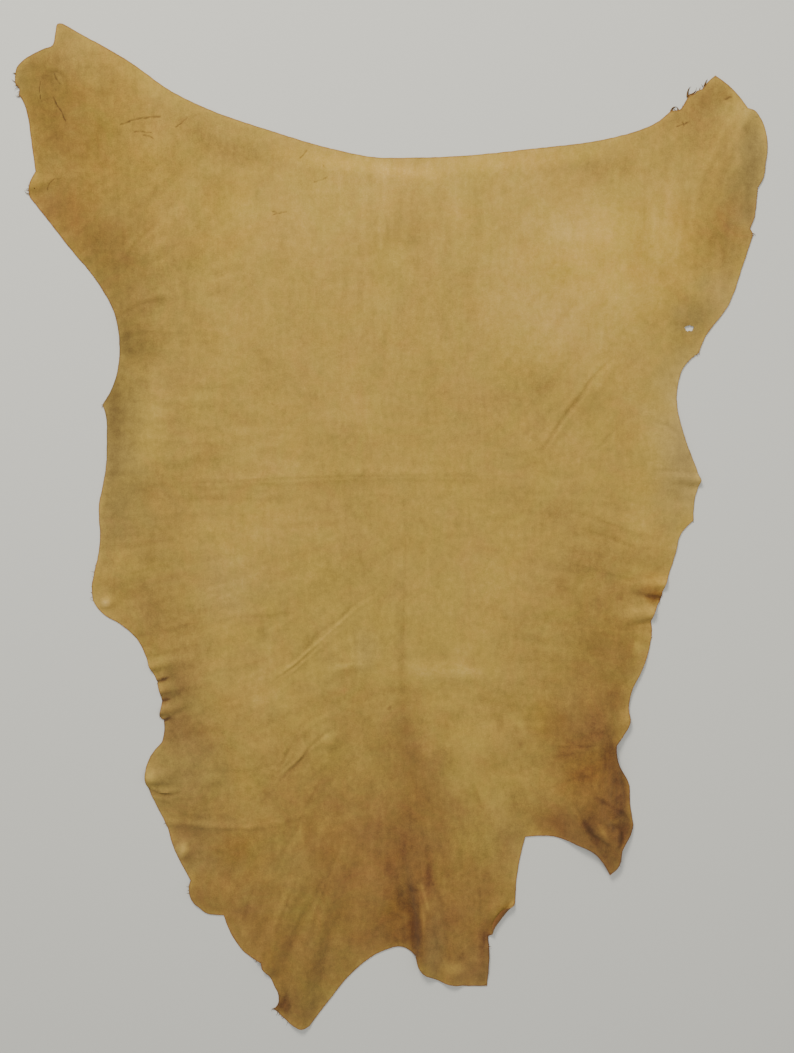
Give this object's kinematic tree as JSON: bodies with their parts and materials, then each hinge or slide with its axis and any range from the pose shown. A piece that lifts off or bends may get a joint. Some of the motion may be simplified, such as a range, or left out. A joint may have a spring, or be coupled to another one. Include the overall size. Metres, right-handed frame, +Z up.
{
  "type": "leather hide",
  "caption": "Whole tanned deerskin with a brushed face and its natural ragged outline, laid out on a surface with soft folds.",
  "frame": {"origin": "middle of the hide's box, on the surface that it lies on", "axes": "+Y along the backbone towards the neck edge, +X to the right of the skin as seen from above with the neck away, +Z up from the surface, on the grain side"},
  "size_m": [1.0658, 1.4946, 0.0248],
  "materials": {
    "hide_leather": "brushed matt nubuck"
  },
  "bodies": {
    "root": {"hide": "hide_leather"}
  },
  "joints": []
}
